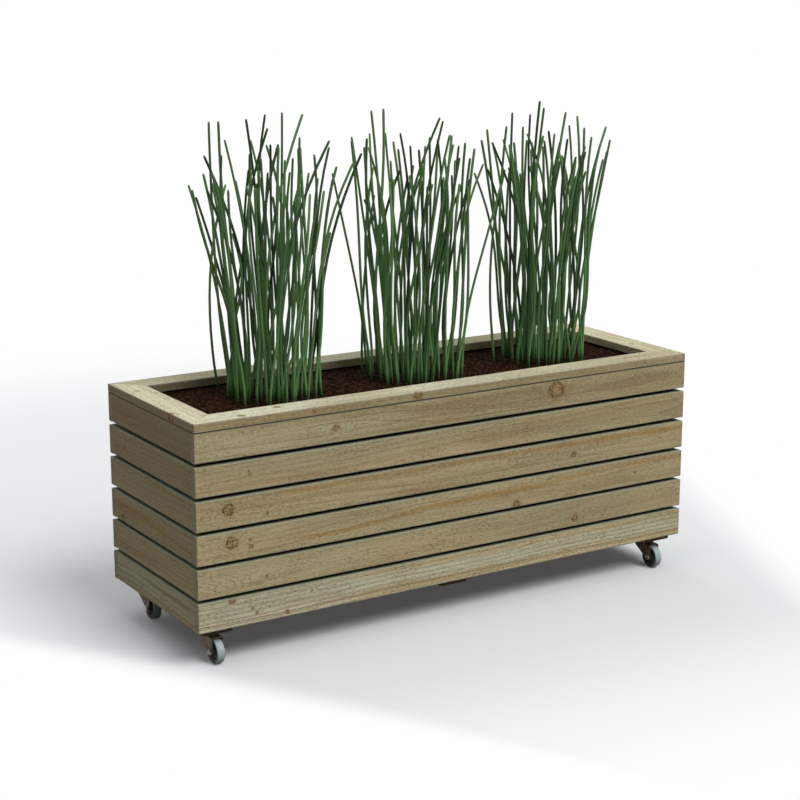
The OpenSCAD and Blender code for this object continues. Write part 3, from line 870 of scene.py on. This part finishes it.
# near-black colours: dark compost with painted shade between its lumps
colour = clods.rise(0.35, 0.7).tint((0.006, 0.0028, 0.0012), (0.022, 0.0095, 0.0038))
colour = (chips.rise(0.7, 0.8) * 0.8).tint(colour, (0.058, 0.021, 0.009))
colour = (chips.rise(0.95, 0.98) * 0.35).tint(colour, (0.1, 0.048, 0.022))
colour = ((1.0 - chips.rise(0.1, 0.2)) * 0.7).tint(colour, (0.006, 0.004, 0.003))
height = clods * 0.5 + chips * 0.3 + grit * 0.2
finish_surface(place, colour, 0.9, height, depth=0.002, Specular_IOR_Level=0.05)
for piece in (soil_piece, crumb_piece):
    piece.data.materials.append(material)
print("compost dressed")

# %% [markdown]
# ## Rush stems
#
# A rush is a clump of round, leafless stems, upright at the foot and then leaning out in long
# easy curves. The feet follow a sunflower spiral, which spreads them evenly, and every
# lean and bend comes from a repeatable chance, in the same formulas as the solid clumps, so the
# two agree. Others cross them, which makes the clump look wild. The stems that stand out by
# their height or their lean are placed one by one, as they give each clump its outline.

# %% The rule that every stem follows
GOLDEN_ANGLE = math.radians(137.508)
STEMS = 50
USUAL_HEIGHT = 0.45
CLUMP_SEEDS = [743, 2443, 1664]
CLUMP_TURN = math.radians(47)


def chance(n):
    """A repeatable number from 0 to 1: the fraction of a large multiple of a sine."""
    value = np.sin(np.radians(n * 127.1)) * 43758.5453
    return value - np.floor(value)


def main_stems(index):
    """Feet, reach, heights and bends of one clump's stems, as the solid clump has them."""
    i = np.arange(STEMS)
    n = i + 1 + CLUMP_SEEDS[index]
    angle = i * GOLDEN_ANGLE + CLUMP_TURN * index
    edge = np.sqrt((i + 0.5) / STEMS)
    foot = CLUMP_RADIUS * edge[:, None] * np.stack([np.cos(angle), np.sin(angle)], axis=-1)
    tall = i % 10 == 5
    height = USUAL_HEIGHT * np.where(tall, 1.1 + 0.18 * chance(n + 7), 0.9 + 0.24 * chance(n))
    outwards = 0.092 * edge * chance(n + 11) ** 1.3
    round_about = 0.024 * edge * (0.2 + 1.6 * chance(n + 13))
    way = 2 * np.pi * chance(n + 17)
    wander = 0.032 * chance(n + 19)
    reach = np.stack([
        outwards * np.cos(angle) - round_about * np.sin(angle) + wander * np.cos(way),
        outwards * np.sin(angle) + round_about * np.cos(angle) + wander * np.sin(way),
    ], axis=-1) * (height / USUAL_HEIGHT)[:, None]
    bend = 1.6 * chance(n + 23) - 0.3
    return foot, reach, height, bend


def crossing_stems(index, count):
    """Feet, reach, heights and bends of the stems that lean any way and cross the others."""
    source = np.random.default_rng(70 + index)
    angle = source.uniform(0, 2 * np.pi, count)
    edge = np.sqrt(source.random(count)) * 0.93
    foot = CLUMP_RADIUS * edge[:, None] * np.stack([np.cos(angle), np.sin(angle)], axis=-1)
    height = USUAL_HEIGHT * source.uniform(0.72, 1.18, count)
    way = angle + source.normal(0, 1.4, count)
    size = source.uniform(0.025, 0.118, count)
    reach = size[:, None] * np.stack([np.cos(way), np.sin(way)], axis=-1)
    return foot, reach, height, source.uniform(0.2, 1.6, count)


# %% The stems that stand out
STANDING_OUT = [
    # foot across and back from the clump's middle, lean across and back, height in mm, bend
    [(-75, 95, 30, 15, 425, 5.0), (-75, 35, -75, 30, 435, 0.7), (-15, 100, -85, 30, 400, 0.6),
     (10, 65, -120, 0, 490, 0.7), (-70, -10, -65, 30, 430, 1.4), (-70, 50, -25, 30, 555, -0.9),
     (-40, -10, -55, 30, 525, 1.3), (-15, 25, -40, -30, 565, 2.2), (0, -15, 65, 0, 570, 2.8),
     (25, -30, 105, 15, 515, 2.4), (90, -40, 25, -15, 445, 2.4)],
    [(-75, 65, -90, -15, 440, 0.1), (-75, 90, 40, 15, 380, 1.5), (-50, 40, -60, 30, 510, 0.2),
     (-75, -10, -35, 0, 570, 0.8), (-70, -45, 80, -30, 555, 1.7), (-15, -25, 85, 15, 540, 1.2),
     (80, -50, 50, 30, 480, 0.8), (65, -20, 55, -15, 420, 1.5), (85, -55, 105, 0, 405, 0.8)],
    [(-105, 40, 10, -15, 425, 3.0), (-45, 75, -35, 30, 505, -0.5), (-50, 15, -115, -30, 435, 1.1),
     (-45, -10, -100, 0, 490, 1.2), (-55, 55, 25, 30, 540, 1.8), (-35, 5, 20, 0, 570, 2.5),
     (-45, -10, 10, -30, 560, 1.2), (-25, -25, 70, 15, 545, 1.3), (85, -5, 90, 30, 505, 1.5),
     (95, -10, 95, 30, 450, 1.0)],
]


def standing_out(index):
    """Feet, reach, heights and bends of the stems that are placed one by one."""
    rows = np.array(STANDING_OUT[index])
    return rows[:, 0:2] / 1000, rows[:, 2:4] / 1000, rows[:, 4] / 1000, rows[:, 5]


print("stems in a clump:", STEMS, "and standing out:", [len(rows) for rows in STANDING_OUT])

# %% [markdown]
# A stem is a tube: a circle carried along its centre line, square to it, and narrowing to a
# blunt tip. A curve with a bevel would give the same, one stem at a time. Here all stems of a
# clump are one array, and each point keeps its stem's tone and its height for the finish.

# %% Tubes along all centre lines at once
RINGS = 15
SIDES = 8
SWAY = (0.009, 0.006, 0.016)


def clump(name, index, crossing):
    """One clump: at share t of its height a stem's centre is foot + reach * ((1-b)t + b t t).

    A sway of about a centimetre is added, the sum of sin(pi t), sin(2 pi t) and t to the
    fourth, each times a random step and fading in from the foot. A stem that stands out has a
    quarter of it. The ring at t is a circle square to the centre line, 14% narrower at the top.
    """
    groups = main_stems(index), crossing_stems(index, crossing), standing_out(index)
    foot, reach, height, bend = (np.concatenate(values) for values in zip(*groups))
    source = np.random.default_rng(90 + index)
    total = len(height)
    t = np.concatenate([np.linspace(-0.02, 0.985, RINGS - 2), [0.997, 1.0]])
    share = (1 - bend)[:, None] * t + bend[:, None] * t * t
    sway = source.normal(0, 1, (total, 2, 3)) * SWAY
    sway[-len(STANDING_OUT[index]):] *= 0.25
    hum = np.stack([np.sin(np.pi * t), np.sin(2 * np.pi * t), t ** 4]) * np.clip(t * 4, 0, 1)
    centre_xy = foot[:, None] + reach[:, None] * share[..., None]
    centre_xy = centre_xy + np.einsum("ska,ar->srk", sway, hum)
    centre = np.concatenate([centre_xy, (height[:, None] * t)[..., None]], axis=-1)
    centre += (*CLUMP_MIDDLES[index], SOIL_LEVEL)

    along = np.gradient(centre, axis=1)
    along /= np.linalg.norm(along, axis=-1, keepdims=True)
    first = np.cross(along, (0.0, 1.0, 0.0))
    first /= np.linalg.norm(first, axis=-1, keepdims=True)
    second = np.cross(along, first)
    thick = source.uniform(0.0055, 0.0066, total)
    taper = 1 - 0.14 * np.clip(t, 0, 1)
    taper[-2:] *= (0.86, 0.45)
    radius = thick[:, None] / 2 * taper
    turn = np.linspace(0, 2 * np.pi, SIDES, endpoint=False)
    circle = first[:, :, None] * np.cos(turn)[:, None] + second[:, :, None] * np.sin(turn)[:, None]
    points = centre[:, :, None] + radius[:, :, None, None] * circle

    number = np.arange(total * RINGS * SIDES).reshape(total, RINGS, SIDES)
    onward = np.roll(number, -1, axis=2)
    walls = np.stack([number[:, 1:], onward[:, 1:], onward[:, :-1], number[:, :-1]], axis=-1)
    faces = [walls.reshape(-1, 4), number[:, -1, ::-1], number[:, 0]]
    piece = new_piece(name, points.reshape(-1, 3), faces)
    tone = np.repeat(source.random(total), RINGS * SIDES)
    rise = np.tile(np.repeat(t, SIDES), total)
    for label, values in (("tone", tone), ("rise", rise)):
        layer = piece.data.attributes.new(label, "FLOAT", "POINT")
        layer.data.foreach_set("value", values.astype(np.float32))
    return piece


print("points on a stem:", RINGS * SIDES)

# %% [markdown]
# Rushes are a deep green with fine grooves, lighter where they leave the soil, and about one
# in five is painted near black, as painted shade on stems inside the clump. Each stem
# carries its tone, so one material serves them all.

# %% The rush's finish
DULL_GREEN = (0.084, 0.174, 0.061)
FRESH_GREEN = (0.162, 0.308, 0.108)
SHADED_STEM_GREEN = (0.021, 0.043, 0.016)
FOOT_GREEN = (0.185, 0.4, 0.138)

rush_green, place = new_material("rush_green")
tone = place.node("ShaderNodeAttribute", {"attribute_name": "tone"}, out=2)
rise = place.node("ShaderNodeAttribute", {"attribute_name": "rise"}, out=2)
x, y, z = place.parts()
grooves = place.vector(x * 1500.0, y * 1500.0, z * 18.0).noise(detail=2.0)
patches = place.vector(x * 60.0, y * 60.0, z * 14.0).noise(detail=2.0)
colour = tone.tint(DULL_GREEN, FRESH_GREEN)
# about one stem in five painted near black, as painted shade on stems inside the clump
colour = ((1.0 - tone.rise(0.16, 0.28)) * 0.85).tint(colour, SHADED_STEM_GREEN)
colour = (patches.rise(0.45, 0.75) * 0.35).tint(colour, (0.08, 0.16, 0.06))
colour = ((1.0 - rise.rise(0.02, 0.3)) * 0.55).tint(colour, FOOT_GREEN)
colour = (grooves.rise(0.5, 0.75) * 0.3).tint(colour, (0.055, 0.125, 0.045))
rough = 0.5 + grooves * 0.15
finish_surface(place, colour, rough, grooves, depth=0.0003, Specular_IOR_Level=0.25)
for index, (place_name, crossing) in enumerate([("left", 5), ("middle", 2), ("right", 2)]):
    rushes = clump(f"{place_name}_rushes", index, crossing)
    rushes.data.materials.append(rush_green)
    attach(rushes, "planter")
    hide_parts(f"{place_name}_rush_clump")
    print(rushes.name, len(rushes.data.polygons), "faces")

# %% [markdown]
# ## Floor and light
#
# The photograph is lit softly from the front right and, more faintly, from behind, on a floor
# that runs out to pure white. The floor is matt and catches the shadow. It blends to plain
# white from 1.5 to 2.8 m away, and sooner in front and past the two ends, where the light
# falls straight on it. Rays that bounce light onto the planter see it darker, so that the
# shaded left end keeps its depth.

# %% The floor
FLOOR_REACH = 9.0
FLOOR_GREY = (0.853, 0.87, 0.897)
BOUNCE_GREY = (0.15, 0.15, 0.15)
WHITE = (1, 1, 1)


def seeing(tree):
    """1 for the camera's rays, and those that a gloss or glass sends on; 0 for light's own."""
    start = Wire(tree, None)
    camera_ray = start.node("ShaderNodeLightPath", out="Is Camera Ray")
    glossy_ray = start.node("ShaderNodeLightPath", out="Is Glossy Ray")
    glass_ray = start.node("ShaderNodeLightPath", out="Is Transmission Ray")
    return camera_ray.math("MAXIMUM", glossy_ray).math("MAXIMUM", glass_ray)


corners = FLOOR_REACH * np.array([[-1, -1, 0], [1, -1, 0], [1, 1, 0], [-1, 1, 0]])
floor = new_piece("floor", corners, [np.array([[0, 1, 2, 3]])])
material, place = new_material("floor")
x, y, _ = place.parts()
far = ((x * x + y * y) ** 0.5).rise(1.5, 2.8)
ahead = (-1.0 * y).rise(0.4, 1.15)
left = (-0.85 * (x + 0.6) - 0.53 * (y + 0.17)).rise(-0.02, 0.09)
right = (0.9 * (x - 0.85) - 0.4 * (y + 0.15)).rise(-0.08, 0.08)
far = far.math("MAXIMUM", ahead).math("MAXIMUM", left).math("MAXIMUM", right)
seen = seeing(place.tree)
near = place.node("ShaderNodeBsdfDiffuse", sockets={"Color": seen.tint(BOUNCE_GREY, FLOOR_GREY)})
white = place.node("ShaderNodeEmission", sockets={"Color": WHITE, "Strength": 1.0})
# a faint white glow, 6% of the blend, lifts the floor's shadow everywhere as painted light
blend = (far * 0.94 + 0.06) * seen
both = place.node("ShaderNodeMixShader", sockets={0: blend, 1: near, 2: white})
place.node("ShaderNodeOutputMaterial", sockets={"Surface": both})
floor.data.materials.append(material)
print("floor half size", FLOOR_REACH, "m")

# %% [markdown]
# Three broad suns stand in for a studio's soft boxes, at the front right, overhead and, more
# faintly, behind. A sun lights everything alike, so its level is one number. The sky is white
# to the camera and nearly dark to the rest, as it would wash out the shadows.

# %% The lamps and the sky
def soft_sun(name, direction, level, spread, colour):
    """A broad lamp that comes from a direction; level is what it adds to a facing white."""
    data = bpy.data.lights.new(name, "SUN")
    data.energy = level * math.pi
    data.angle = math.radians(spread)
    data.color = colour
    lamp = bpy.data.objects.new(name, data)
    lamp.rotation_euler = Vector(direction).to_track_quat("Z", "Y").to_euler()
    bpy.context.scene.collection.objects.link(lamp)
    print(name, "level", level, "spread", spread)


soft_sun("front_lamp", (0.2, -0.61, 0.77), 0.61, 30, (1.0, 0.985, 0.96))
soft_sun("back_lamp", (-0.1, 0.7, 0.71), 0.15, 45, (0.98, 0.99, 1.0))
soft_sun("overhead_lamp", (0.0, 0.0, 1.0), 0.34, 90, (0.98, 0.99, 1.0))

world = bpy.data.worlds.new("world")
bpy.context.scene.world = world
world.use_nodes = True
world.node_tree.nodes.clear()
sky = seeing(world.node_tree)
shade = sky.node("ShaderNodeBackground", sockets={"Color": (0.96, 0.98, 1.0), "Strength": 0.05})
white = sky.node("ShaderNodeBackground", sockets={"Color": WHITE, "Strength": 1.0})
mixed = sky.node("ShaderNodeMixShader", sockets={0: sky, 1: shade, 2: white})
sky.node("ShaderNodeOutputWorld", sockets={"Surface": mixed})
